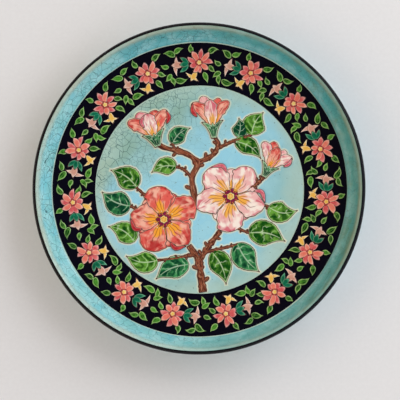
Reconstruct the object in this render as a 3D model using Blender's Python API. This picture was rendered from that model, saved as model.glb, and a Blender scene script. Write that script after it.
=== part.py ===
"""A round wall plate of glazed earthenware with raised enamel flowers. It lies face up on its foot ring."""

import math

import bmesh
import bpy
from mathutils import Vector
from mathutils.geometry import delaunay_2d_cdt

# Sizes in millimetres
DISC_RADIUS = 117.5  # flat picture in the middle
BAND_WIDTH = 48.0  # dark flowered band around it, seen from above
WALL_WIDTH = 19.5  # from the band to the outer edge of the lip, seen from above
FOOT_HEIGHT = 7.0
BODY_THICKNESS = 7.0  # of the floor, the wall and the lip
BAND_RISE = 9.0  # from the picture to the band's outer edge
WALL_RISE = 22.0  # from there to the top of the lip
WALL_ANGLE = 67.5  # slope of the wall where it meets the lip, in degrees
FOOT_RADIUS = 106.0
FOOT_WIDTH = 7.0
FOOT_ROUNDING = 1.0
HOLE_WIDTH = 3.0
HOLE_SPACING = 50.0  # between the two holes for the hanging wire
ENAMEL_HEIGHT = 0.7  # how far the enamel stands above the glaze
ENAMEL_SLOPE = 0.8  # width of an enamel pad's sloping edge

# Counts
SIDES = 72
REPEATS = 15  # sprigs around the band
SPRIG_TURN = -6.0  # where the first sprig's daisy is, in degrees from +X
DAISY_PETALS = 9
WALL_STEPS = 5
LIP_STEPS = 8

# Worked out from the sizes
BAND_RADIUS = DISC_RADIUS + BAND_WIDTH
PLATE_RADIUS = BAND_RADIUS + WALL_WIDTH
FLOOR_TOP = FOOT_HEIGHT + BODY_THICKNESS
BAND_TOP = FLOOR_TOP + BAND_RISE
LIP_RADIUS = BODY_THICKNESS / 2
LIP_CENTRE = Vector((PLATE_RADIUS - LIP_RADIUS, BAND_TOP + WALL_RISE - LIP_RADIUS))
MIDDLE_RADIUS = DISC_RADIUS + BAND_WIDTH / 2

# One sprig: a leaf is its middle along the band in shares of the repeat, its middle across the band in
# shares of the band's width, the way it points in degrees from the run of the band, and its length and
# width in shares of the band's width
SPRIG_LEAVES = [
    (0.385, -0.33, 188, 0.24, 0.13),
    (0.575, -0.34, -98, 0.18, 0.10),
    (0.640, -0.225, -38, 0.19, 0.11),
    (0.655, 0.06, 20, 0.17, 0.10),
    (0.525, 0.29, 35, 0.24, 0.13),
    (0.745, -0.10, 220, 0.18, 0.10),
    (0.750, 0.31, 145, 0.21, 0.12),
    (0.865, -0.31, -112, 0.22, 0.11),
    (0.130, 0.37, 75, 0.17, 0.11),
    (0.350, 0.34, 160, 0.20, 0.11),
]

# The other outlines of a sprig, as shares along the repeat and across the band, anticlockwise on the plate
SPRIG_BELL = [(0.045, -0.20), (0.150, -0.20), (0.265, -0.25), (0.180, -0.33), (0.145, -0.42), (0.080, -0.36)]
SPRIG_CAP = [(0.210, 0.02), (0.265, -0.12), (0.365, -0.145), (0.330, 0.01), (0.310, 0.17), (0.240, 0.11)]
SPRIG_TULIP = [(0.350, 0.06), (0.380, -0.09), (0.500, -0.16), (0.475, -0.02), (0.540, 0.07), (0.370, 0.20)]

# The picture, in shares of its radius, x to the right and y up. A leaf is its base, its tip and its width
PICTURE_LEAVES = [
    ((0.50, 0.52), (0.60, 0.74), 0.22),
    ((0.37, 0.50), (0.39, 0.68), 0.15),
    ((0.34, 0.46), (0.60, 0.31), 0.17),
    ((0.66, -0.17), (0.96, -0.23), 0.20),
    ((0.47, -0.42), (0.82, -0.48), 0.24),
    ((0.36, -0.52), (0.56, -0.80), 0.23),
    ((0.12, -0.60), (0.27, -0.90), 0.21),
    ((-0.10, -0.72), (-0.42, -0.84), 0.21),
    ((-0.40, -0.68), (-0.70, -0.66), 0.20),
    ((-0.62, -0.50), (-0.86, -0.34), 0.20),
    ((-0.66, -0.16), (-0.94, -0.04), 0.23),
    ((-0.60, 0.02), (-0.84, 0.20), 0.22),
    ((-0.22, 0.22), (-0.46, 0.18), 0.17),
    ((-0.26, 0.44), (-0.10, 0.60), 0.16),
]
# A blossom is its middle, its radius and the turn of its first petal in degrees. A petal's outline is a
# share of that radius and an angle from the petal's middle, point by point
BLOSSOMS = [((-0.34, -0.29), 0.33, 100), ((0.30, -0.07), 0.33, 128)]
PETAL = [(0.27, -20), (0.60, -27), (0.88, -22), (1.0, -7), (0.96, 8), (0.86, 23), (0.55, 27), (0.27, 20)]
BLOSSOM_PETALS = 5
BUTTON_RADIUS = 0.19
# A bud is its base, its tip and its width
BUDS = [
    ((0.14, 0.50), (0.10, 0.90), 0.30),
    ((-0.40, 0.42), (-0.52, 0.76), 0.34),
    ((0.62, 0.12), (0.78, 0.42), 0.27),
]
# A branch is its points from thick to thin and its width at both ends
BRANCHES = [
    ([(0.02, -0.94), (0.01, -0.80), (-0.02, -0.66)], 0.085, 0.07),
    ([(-0.07, 0.10), (-0.02, 0.24), (-0.12, 0.34), (-0.33, 0.40)], 0.05, 0.04),
    ([(0.01, 0.27), (0.13, 0.33), (0.20, 0.45)], 0.045, 0.035),
]


def clear_scene():
    for thing in list(bpy.data.objects):
        bpy.data.objects.remove(thing, do_unlink=True)


def direction(degrees):
    return Vector((math.cos(math.radians(degrees)), math.sin(math.radians(degrees))))


def curve_point(ends, share):
    """The point at this share of the cubic curve between the first and the last of four points."""
    a, b, c, d = ends
    rest = 1 - share
    return a * rest**3 + b * 3 * rest**2 * share + c * 3 * rest * share**2 + d * share**3


def wall_profile():
    """Points up the inside of the wall, as (radius, height), with the slope at each in degrees."""
    start = Vector((BAND_RADIUS, BAND_TOP))
    band_slope = math.degrees(math.atan2(BAND_RISE, BAND_WIDTH))
    end = LIP_CENTRE + LIP_RADIUS * direction(WALL_ANGLE + 90)
    reach = (end - start).length / 3
    ends = (start, start + reach * direction(band_slope), end - reach * direction(WALL_ANGLE), end)
    points = [curve_point(ends, step / WALL_STEPS) for step in range(WALL_STEPS + 1)]
    slopes = [band_slope]
    for before, after in zip(points[:-2], points[2:]):
        slopes.append(math.degrees(math.atan2(after.y - before.y, after.x - before.x)))
    slopes.append(WALL_ANGLE)
    return points, slopes


def under_profile(points, slopes):
    """The wall's outside, one thickness below its inside, from the lip down to the foot ring."""
    outside = [
        point - BODY_THICKNESS * direction(slope + 90) for point, slope in zip(points, slopes)
    ]
    return outside[::-1]


def band_underside():
    """Points under the band and the floor, from the wall in to the foot ring."""
    slope = math.degrees(math.atan2(BAND_RISE, BAND_WIDTH))
    corner = Vector((DISC_RADIUS, FLOOR_TOP)) - BODY_THICKNESS * direction(slope / 2 + 90)
    if corner.x > FOOT_RADIUS + 2 * FOOT_ROUNDING:
        return [corner]
    return []


def foot_profile():
    """The foot ring from its outer side to its inner side, with a small rounding at each corner."""
    inner = FOOT_RADIUS - FOOT_WIDTH
    return [
        Vector((FOOT_RADIUS + FOOT_ROUNDING, FOOT_HEIGHT)),
        Vector((FOOT_RADIUS, FOOT_HEIGHT - FOOT_ROUNDING)),
        Vector((FOOT_RADIUS, FOOT_ROUNDING)),
        Vector((FOOT_RADIUS - FOOT_ROUNDING, 0.0)),
        Vector((inner + FOOT_ROUNDING, 0.0)),
        Vector((inner, FOOT_ROUNDING)),
        Vector((inner, FOOT_HEIGHT - FOOT_ROUNDING)),
        Vector((inner - FOOT_ROUNDING, FOOT_HEIGHT)),
    ]


def turned_profile():
    """Every ring of the plate from the band's outer edge over the lip to the middle of the underside."""
    points, slopes = wall_profile()
    lip = []
    for step in range(1, LIP_STEPS):
        angle = WALL_ANGLE + 90 - 180 * step / LIP_STEPS
        lip.append(LIP_CENTRE + LIP_RADIUS * direction(angle))
    return points + lip + under_profile(points, slopes) + band_underside() + foot_profile()


def ground_height(x, y):
    """The glaze's height under the picture and the band, before any enamel."""
    out = math.hypot(x, y) - DISC_RADIUS
    return FLOOR_TOP + BAND_RISE * max(out, 0.0) / BAND_WIDTH


class Drawing:
    """Outlines of the enamel pads, seen from above, with the height of each point above the glaze."""

    def __init__(self):
        self.points = []
        self.lifts = []
        self.edges = []

    def line(self, points, lift, closed=True):
        first = len(self.points)
        self.points.extend(points)
        self.lifts.extend([lift] * len(points))
        for i in range(len(points) - (0 if closed else 1)):
            self.edges.append((first + i, first + (i + 1) % len(points)))

    def pad(self, outline):
        """A flat-topped pad with sloping edges. The outline runs anticlockwise."""
        self.line(outline, 0.0)
        inner = []
        for i, point in enumerate(outline):
            before = (point - outline[i - 1]).normalized()
            after = (outline[(i + 1) % len(outline)] - point).normalized()
            inward = (before.orthogonal() + after.orthogonal()).normalized()
            inner.append(point + ENAMEL_SLOPE * inward)
        self.line(inner, ENAMEL_HEIGHT)

    def leaf(self, base, tip, width, steps=3):
        """A leaf with a ridge along its middle."""
        run = tip - base
        side = run.orthogonal().normalized() * width / 2
        shares = [(step + 1) / (steps + 1) for step in range(steps)]
        left = [base + run * s + side * math.sin(math.pi * s**0.85) for s in shares]
        right = [base + run * s - side * math.sin(math.pi * s**0.85) for s in shares]
        self.line([base, *right, tip, *left[::-1]], 0.0)
        self.line([base + run * 0.25, base + run * 0.7], ENAMEL_HEIGHT, closed=False)


def on_band(sprig, along, across):
    """A point of the band: which sprig, its share of the repeat and its share of the band's width."""
    angle = SPRIG_TURN + 360 * (sprig + along) / REPEATS
    return (MIDDLE_RADIUS + across * BAND_WIDTH) * direction(angle)


def draw_sprig(drawing, sprig):
    """A daisy, a bell flower, a tulip in its cap and their leaves, running anticlockwise along the band."""
    middle = on_band(sprig, 0.0, 0.03)
    out = middle.normalized()
    run = out.orthogonal()
    unit = BAND_WIDTH
    daisy = []
    for i in range(2 * DAISY_PETALS):
        angle = 180 * i / DAISY_PETALS
        reach = unit * (0.235 - 0.03 * math.cos(math.radians(angle + 50)))
        way = run * direction(angle).x + out * direction(angle).y
        daisy.append(middle + way * reach * (1.0 if i % 2 else 0.72))
    drawing.pad(daisy[::-1])
    for outline in (SPRIG_BELL, SPRIG_CAP, SPRIG_TULIP):
        drawing.pad([on_band(sprig, *point) for point in outline])
    for along, across, turn, length, width in SPRIG_LEAVES:
        at = on_band(sprig, along, across)
        leaf_out = at.normalized()
        leaf_run = leaf_out.orthogonal()
        way = leaf_run * direction(turn).x + leaf_out * direction(turn).y
        reach = way * unit * length / 2
        drawing.leaf(at - reach, at + reach, unit * width, steps=2)


def picture_point(pair):
    return Vector(pair) * DISC_RADIUS


def draw_blossom(drawing, middle, radius, turn):
    """Five rounded petals around a low button."""
    for i in range(BLOSSOM_PETALS):
        way = turn + 360 * i / BLOSSOM_PETALS
        drawing.pad([middle + radius * share * direction(way + spread) for share, spread in PETAL])
    drawing.pad([middle + radius * BUTTON_RADIUS * direction(45 * i) for i in range(8)])


def draw_bud(drawing, base, tip, width):
    """Three upright petals side by side above a cup of sepals."""
    run = tip - base
    side = run.orthogonal().normalized() * width

    def at(along, across):
        return base + run * along + side * across

    cup = [at(0.0, 0.0), at(0.06, -0.17), at(0.34, -0.27), at(0.20, 0.0), at(0.34, 0.27), at(0.06, 0.17)]
    drawing.pad(cup)
    drawing.pad([at(0.29, 0.0), at(0.62, -0.17), at(0.95, -0.12), at(0.95, 0.12), at(0.62, 0.17)])
    drawing.pad([at(0.38, -0.16), at(0.50, -0.38), at(0.86, -0.52), at(0.83, -0.30), at(0.60, -0.23)])
    drawing.pad([at(0.60, 0.23), at(0.83, 0.30), at(0.86, 0.52), at(0.50, 0.38), at(0.38, 0.16)])


def draw_branch(drawing, points, start, end):
    """A strip that narrows from its start to its end."""
    left = []
    right = []
    for i, point in enumerate(points):
        before = points[max(i - 1, 0)]
        after = points[min(i + 1, len(points) - 1)]
        half = (start + (end - start) * i / (len(points) - 1)) / 2
        side = (after - before).orthogonal().normalized() * half
        left.append(point + side)
        right.append(point - side)
    drawing.pad(right + left[::-1])


def draw_all():
    drawing = Drawing()
    for radius in (BAND_RADIUS, DISC_RADIUS):
        ring = [radius * direction(360 * i / SIDES) for i in range(SIDES)]
        drawing.line(ring, 0.0)
    for sprig in range(REPEATS):
        draw_sprig(drawing, sprig)
    for base, tip, width in PICTURE_LEAVES:
        drawing.leaf(picture_point(base), picture_point(tip), width * DISC_RADIUS)
    for middle, radius, turn in BLOSSOMS:
        draw_blossom(drawing, picture_point(middle), radius * DISC_RADIUS, turn)
    for base, tip, width in BUDS:
        draw_bud(drawing, picture_point(base), picture_point(tip), width * DISC_RADIUS)
    for points, start, end in BRANCHES:
        draw_branch(drawing, [picture_point(p) for p in points], start * DISC_RADIUS, end * DISC_RADIUS)
    return drawing


def add_face_side(bm, drawing):
    """The picture and the band with their enamels. It gives the band's outer vertices in order."""
    flat, _, faces, origins, _, _ = delaunay_2d_cdt(drawing.points, drawing.edges, [], 0, 0.001)
    verts = []
    outer_edge = {}
    for point, origin in zip(flat, origins):
        lift = max((drawing.lifts[i] for i in origin), default=0.0)
        verts.append(bm.verts.new((point.x, point.y, ground_height(point.x, point.y) + lift)))
        for i in origin:
            if i < SIDES:
                outer_edge[i] = verts[-1]
    for face in faces:
        bm.faces.new([verts[i] for i in face])
    return [outer_edge[i] for i in range(SIDES)]


def add_turned_side(bm, ring):
    """The wall, the lip, the underside and the foot ring, turned around the Z axis from the given ring."""
    for radius, height in turned_profile()[1:]:
        lower = []
        for i in range(SIDES):
            spot = radius * direction(360 * i / SIDES)
            lower.append(bm.verts.new((spot.x, spot.y, height)))
        for i in range(SIDES):
            j = (i + 1) % SIDES
            bm.faces.new([ring[i], lower[i], lower[j], ring[j]])
        ring = lower
    bm.faces.new(ring[::-1])


def glaze_material():
    material = bpy.data.materials.new("turquoise_glaze")
    material.use_nodes = True
    shader = material.node_tree.nodes["Principled BSDF"]
    shader.inputs["Base Color"].default_value = (0.27, 0.58, 0.61, 1.0)
    shader.inputs["Roughness"].default_value = 0.15
    shader.inputs["Metallic"].default_value = 0.0
    return material


def make_plate():
    bm = bmesh.new()
    ring = add_face_side(bm, draw_all())
    add_turned_side(bm, ring)
    bmesh.ops.scale(bm, vec=(0.001, 0.001, 0.001), verts=bm.verts)
    bmesh.ops.recalc_face_normals(bm, faces=bm.faces)
    mesh = bpy.data.meshes.new("plate")
    bm.to_mesh(mesh)
    bm.free()
    mesh.polygons.foreach_set("use_smooth", [True] * len(mesh.polygons))
    plate = bpy.data.objects.new("plate", mesh)
    plate.data.materials.append(glaze_material())
    bpy.context.collection.objects.link(plate)
    return plate


def drill_hanging_holes(plate):
    """Two holes straight through the foot ring near the plate's top edge, for a hanging wire."""
    middle = FOOT_RADIUS - FOOT_WIDTH / 2
    for name, side in (("left_hole_cutter", -1), ("right_hole_cutter", 1)):
        angle = math.pi / 2 - side * math.asin(HOLE_SPACING / 2 / middle)
        bpy.ops.mesh.primitive_cylinder_add(
            vertices=12, radius=HOLE_WIDTH / 2000, depth=2 * FOOT_WIDTH / 1000
        )
        cutter = bpy.context.object
        cutter.name = name
        cutter.location = (
            middle * math.cos(angle) / 1000,
            middle * math.sin(angle) / 1000,
            FOOT_HEIGHT / 2000,
        )
        cutter.rotation_euler = (0.0, math.pi / 2, angle)
        cutter.hide_render = True
        cutter.display_type = "WIRE"
        hole = plate.modifiers.new(name, "BOOLEAN")
        hole.operation = "DIFFERENCE"
        hole.solver = "EXACT"
        hole.object = cutter


def main():
    clear_scene()
    plate = make_plate()
    drill_hanging_holes(plate)


main()
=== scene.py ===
"""A round wall plate of crackled turquoise earthenware with raised enamel flowers. It lies face up on its
foot ring, and the camera looks down on it. Lengths are in millimetres, and meshes are made in metres."""

import math
from functools import partialmethod

import bpy
import numpy as np
from mathutils import Matrix, Vector


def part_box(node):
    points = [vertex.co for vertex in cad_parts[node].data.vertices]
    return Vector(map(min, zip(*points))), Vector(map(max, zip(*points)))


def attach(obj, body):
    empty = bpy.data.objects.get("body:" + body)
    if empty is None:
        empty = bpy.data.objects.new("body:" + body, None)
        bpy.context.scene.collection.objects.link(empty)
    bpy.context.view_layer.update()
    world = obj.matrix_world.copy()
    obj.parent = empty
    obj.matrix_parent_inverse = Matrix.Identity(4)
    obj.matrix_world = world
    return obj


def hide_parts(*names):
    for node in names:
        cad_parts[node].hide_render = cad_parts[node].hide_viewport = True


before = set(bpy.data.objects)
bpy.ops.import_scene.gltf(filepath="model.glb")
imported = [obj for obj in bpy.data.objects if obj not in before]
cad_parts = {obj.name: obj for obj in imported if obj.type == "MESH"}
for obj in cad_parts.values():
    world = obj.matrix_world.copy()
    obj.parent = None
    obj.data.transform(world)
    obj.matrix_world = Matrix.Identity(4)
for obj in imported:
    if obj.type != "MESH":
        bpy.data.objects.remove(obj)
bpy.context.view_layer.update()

MM = 0.001
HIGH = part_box("plate")[1]

# The plate's sizes, as in part.py
PLATE_RADIUS = HIGH[0] / MM
PLATE_HEIGHT = HIGH[2] / MM
DISC_RADIUS = 117.5
BAND_WIDTH = 48
BAND_RISE = 9
WALL_ANGLE = 67.5
BODY_THICKNESS = 7
FOOT_HEIGHT = 7
FOOT_RADIUS = 106
FOOT_WIDTH = 7
FOOT_ROUNDING = 1
FOOT_FILLET = 1.2  # where the ring meets the back
HOLE_WIDTH = 3
HOLE_SPACING = 50
REPEATS = 15

BAND_RADIUS = DISC_RADIUS + BAND_WIDTH
MIDDLE_RADIUS = DISC_RADIUS + BAND_WIDTH / 2
FLOOR_TOP = FOOT_HEIGHT + BODY_THICKNESS
BAND_TOP = FLOOR_TOP + BAND_RISE
BAND_SLOPE = math.degrees(math.atan2(BAND_RISE, BAND_WIDTH))
BAND_FOOT = np.array((DISC_RADIUS, FLOOR_TOP))
BAND_RIM = np.array((BAND_RADIUS, BAND_TOP))
LIP_RADIUS = BODY_THICKNESS / 2
LIP_CENTRE = np.array((PLATE_RADIUS - LIP_RADIUS, PLATE_HEIGHT - LIP_RADIUS))

# The painted zones
CREAM_LINE = 1  # pale line on both sides of the dark band
CREAM_ON_BAND = 0.4  # how much of the outer one lies on the band
THIN_GLAZE = 9  # how far below the lip's top the glaze gets thin
DARK_LIP_ANGLE = 96  # where the dark line starts on the lip, 90 being its top
SEAM_ANGLE = -20  # where the face's mesh ends on the lip and the back's starts
DARK_BELOW_LIP = 9  # how far the dark glaze runs down the outside
BARE_SHARE = 0.55  # how much of the foot ring's height is bare clay
SEGMENTS = 360
AROUND = np.arange(SEGMENTS) * 360 / SEGMENTS
SHARP_ANGLE = 35
BAKE_WIDTH = 2.02  # of the bake map, in radii of what lies flat on it
COAT_ROUGHNESS = 0.05

# Enamel
CELL_EDGE = 0.1  # the height of a cell's edge above what it lies on
RELIEF = 0.34  # how much higher its middle is
LAYER = 0.3  # from one layer of cells to the next
OUTLINE_WIDTH = 0.6
HALO_WIDTH = 3
SKIRT = 0.6  # how far a cell reaches down into what it lies on
STREAK_SHIFT = 40  # what sets the streaks of one cell apart from those of the next
PICTURE_SEED = 11
BORDER_SEED = 5

# Camera and floor
CAMERA_DISTANCE = 2  # metres, from the plate's middle
CAMERA_LEAN = (0.043, -0.081)  # how far the view leans to the right and down, per metre
PHOTO_SIDE = 400  # pixels
PLATE_CENTRE_PIXEL = (198.2, 187)
PLATE_RADIUS_PIXELS = 167
FLOOR_REACH = 6  # metres, from its middle to its sides
FLOOR_DROP = 0.0002  # metres under the foot ring

# The band's sprig, about as in part.py: a leaf is its middle along the band in shares of the repeat, its
# middle across the band, the way it points in degrees from the run of the band, and its length and width in
# shares of the band's width
SPRIG_TURN = -6
SPRIG_LEAVES = [
    (0.385, -0.33, 188, 0.24, 0.13),
    (0.575, -0.34, -98, 0.18, 0.1),
    (0.64, -0.225, -38, 0.19, 0.11),
    (0.655, 0.06, 20, 0.17, 0.1),
    (0.525, 0.29, 35, 0.24, 0.13),
    (0.745, -0.1, 220, 0.18, 0.1),
    (0.75, 0.31, 145, 0.21, 0.12),
    (0.865, -0.31, -112, 0.22, 0.11),
    (0.13, 0.37, 75, 0.17, 0.11),
    (0.35, 0.34, 160, 0.2, 0.11),
]
# The other flowers: the foot of the lobes, their tips and their width
BELL = (0.055, -0.18), [(0.265, -0.235), (0.07, -0.395), (0.19, -0.385)], 0.115
CAP = (0.205, 0.01), [(0.385, -0.16), (0.34, 0.185), (0.372, 0.015)], 0.115
TULIP = (0.3, 0.01), [(0.5, -0.16), (0.44, 0.175), (0.53, 0.035)], 0.14

# The picture, in shares of its radius, x to the right and y up. A leaf is its base, its tip, its width, its
# paint and its bend to the left in shares of its length
LEAVES = [
    ((0.5, 0.52), (0.6, 0.74), 0.22, "leaf", 0.08),
    ((0.37, 0.5), (0.39, 0.68), 0.15, "dark_leaf", -0.08),
    ((0.34, 0.46), (0.6, 0.31), 0.17, "leaf", 0.1),
    ((0.66, -0.17), (0.93, -0.23), 0.2, "leaf", -0.12),
    ((0.47, -0.42), (0.82, -0.48), 0.24, "leaf", 0.08),
    ((0.36, -0.52), (0.56, -0.8), 0.23, "dark_leaf", -0.06),
    ((0.12, -0.6), (0.27, -0.9), 0.21, "leaf", 0.07),
    ((-0.1, -0.72), (-0.42, -0.84), 0.21, "dark_leaf", -0.08),
    ((-0.4, -0.68), (-0.7, -0.66), 0.2, "leaf", 0.1),
    ((-0.62, -0.5), (-0.86, -0.34), 0.2, "leaf", -0.1),
    ((-0.66, -0.16), (-0.94, -0.04), 0.23, "dark_leaf", 0.08),
    ((-0.6, 0.02), (-0.84, 0.2), 0.22, "leaf", -0.08),
    ((-0.22, 0.22), (-0.46, 0.18), 0.17, "leaf", -0.1),
    ((-0.26, 0.44), (-0.1, 0.6), 0.16, "dark_leaf", 0.1),
]
# A blossom is its middle, its radius, the turn of its first petal, its paint and each petal's turned edge
BLOSSOMS = [
    ((-0.34, -0.29), 0.33, 100, "coral", (0, 1, 0, -1, 0)),
    ((0.3, -0.07), 0.33, 128, "pink", (-1, 0, 0, 1, 0)),
]
# A bud is its base, its tip, its width, the paint of its sides and of its middle and its petals' turned edges
BUDS = [
    ((0.14, 0.5), (0.1, 0.9), 0.3, "coral", "pink", (1, 0, 0)),
    ((-0.4, 0.42), (-0.52, 0.76), 0.34, "coral", "pink", (0, -1, 1)),
    ((0.62, 0.12), (0.78, 0.42), 0.27, "pink", "coral", (0, -1, 0)),
]
# A branch is its points and its width at both ends
BRANCHES = [
    ([(0.035, -0.982), (0.015, -0.84), (-0.01, -0.68), (-0.1, -0.54)], 0.064, 0.052),
    ([(-0.01, -0.7), (0.08, -0.56), (0.2, -0.4)], 0.05, 0.04),
    ([(-0.03, -0.16), (-0.07, 0.1), (-0.02, 0.24), (-0.12, 0.34), (-0.33, 0.4), (-0.39, 0.43)], 0.055, 0.038),
    ([(0.00, 0.26), (0.13, 0.33), (0.18, 0.43), (0.15, 0.5)], 0.045, 0.032),
    ([(0.19, 0.4), (0.32, 0.46), (0.42, 0.49), (0.5, 0.52)], 0.03, 0.018),
    ([(0.48, 0.02), (0.56, 0.06), (0.62, 0.12)], 0.038, 0.03),
    ([(-0.08, 0.12), (-0.15, 0.19), (-0.23, 0.22)], 0.026, 0.018),
    ([(-0.2, 0.36), (-0.24, 0.4), (-0.26, 0.45)], 0.024, 0.018),
    ([(-0.05, -0.62), (-0.22, -0.66), (-0.4, -0.68)], 0.026, 0.018),
    ([(0.06, -0.6), (0.2, -0.57), (0.37, -0.53)], 0.026, 0.018),
    ([(0.33, -0.34), (0.4, -0.39), (0.48, -0.42)], 0.024, 0.017),
    ([(0.55, -0.12), (0.62, -0.155), (0.67, -0.17)], 0.024, 0.017),
    ([(-0.56, -0.21), (-0.62, -0.18), (-0.67, -0.155)], 0.024, 0.017),
    ([(-0.46, -0.1), (-0.54, -0.04), (-0.61, 0.025)], 0.024, 0.017),
]


def direction(degrees):
    angle = np.radians(degrees)
    return np.array((np.cos(angle), np.sin(angle)))


def turned_left(vector):
    return np.array((-vector[1], vector[0]))


def unit(vector):
    return vector / max(np.hypot(*vector), 1e-9)


def smooth_step(x, low, high):
    t = np.clip((x - low) / (high - low), 0, 1)
    return t * t * (3 - 2 * t)


# Materials


class Value:
    """What a node gives out, so that a pattern is written as sums of noises, steps and numbers."""

    def __init__(self, nodes, socket):
        self.nodes = nodes
        self.socket = socket

    def math(self, operation, *others):
        return self.nodes.add("Math", (self, *others), operation=operation)

    __add__ = partialmethod(math, "ADD")
    __sub__ = partialmethod(math, "SUBTRACT")
    __mul__ = partialmethod(math, "MULTIPLY")
    __pow__ = partialmethod(math, "POWER")
    __abs__ = partialmethod(math, "ABSOLUTE")
    most = partialmethod(math, "MAXIMUM")

    def __rsub__(self, other):
        return self.nodes.add("Math", (other, self), operation="SUBTRACT")

    def step(self, low, high, out_low=0, out_high=1, kind="SMOOTHSTEP"):
        """Goes from one output to the other while the value goes from low to high."""
        return self.nodes.add("MapRange", (self, low, high, out_low, out_high), interpolation_type=kind)

    def mix(self, share, other):
        return self.nodes.mix(share, self, other)


class Nodes:
    """A node tree and the few kinds of node that its pattern needs."""

    def __init__(self, tree):
        self.tree = tree

    def add(self, kind, inputs=(), output=0, **settings):
        """One output of a new node. inputs are its first ones in order, or some by their name or number."""
        node = self.tree.nodes.new("ShaderNode" + kind)
        for name, value in settings.items():
            setattr(node, name, value)
        self.fill(node, inputs if isinstance(inputs, dict) else dict(enumerate(inputs)))
        return Value(self, node.outputs[output])

    def fill(self, node, inputs):
        for key, value in inputs.items():
            socket = node.inputs[key]
            if isinstance(value, Value):
                self.tree.links.new(value.socket, socket)
            elif socket.type == "RGBA":
                socket.default_value = (*value, 1)
            else:
                socket.default_value = value

    def mix(self, share, a, b):
        return self.add("Mix", {0: share, 6: a, 7: b}, output=2, data_type="RGBA")

    def attribute(self, name):
        return self.add("Attribute", output="Fac", attribute_name=name)

    def cell(self):
        """What the enamel cells say of each of their points."""
        return [self.attribute(name) for name in ("along", "across", "depth", "tone")]

    def place(self, kind="Object"):
        return self.add("TexCoord", output=kind)

    def axes(self, kind="Object"):
        """The place's X, Y and Z."""
        return [self.add("SeparateXYZ", (self.place(kind),), axis) for axis in "XYZ"]

    def noise(self, size, detail=2, place=None, distortion=0, output="Fac"):
        """Noise from 0 to 1 whose blobs are about this many millimetres across."""
        looks = {"Scale": 1 / (size * MM), "Detail": detail, "Distortion": distortion}
        return self.add("TexNoise", {"Vector": place or self.place(), **looks}, output)

    def streaks(self, length, width, detail=2):
        """Noise from 0 to 1 that runs along a cell: about this many blobs in its length and in its width."""
        along, across, _, tone = self.cell()
        place = self.add("CombineXYZ", (along * length, across * (width / 2), tone * STREAK_SHIFT))
        return self.noise(1 / MM, detail, place)

    def cracks(self, size, wander):
        """Distance to the nearest crack of a net with cells of this size, in shares of a cell."""
        shift = (self.noise(size * 0.8, 1, output="Color"), (wander * MM,) * 3, self.place())
        looks = {"Vector": self.add("VectorMath", shift, operation="MULTIPLY_ADD"), "Scale": 1 / (size * MM)}
        return self.add("TexVoronoi", looks, "Distance", feature="DISTANCE_TO_EDGE")


class Paint(Nodes):
    """A Principled material."""

    def __init__(self, name, roughness=0.1, coat=0.1, gloss=0.3):
        self.material = bpy.data.materials.new(name)
        self.material.use_nodes = True
        super().__init__(self.material.node_tree)
        self.shader = self.tree.nodes["Principled BSDF"]
        self.fill(self.shader, {"Roughness": roughness, "Specular IOR Level": gloss})
        self.fill(self.shader, {"Coat Weight": coat, "Coat Roughness": COAT_ROUGHNESS})

    def finish(self, colour, height=None, strength=0, distance=0):
        """The material in this colour, with bumps of this height, strength and distance in millimetres."""
        self.fill(self.shader, {"Base Color": colour})
        if height:
            bumps = {"Height": height, "Strength": strength, "Distance": distance * MM}
            self.fill(self.shader, {"Normal": self.add("Bump", bumps)})
        return self.material


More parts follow.
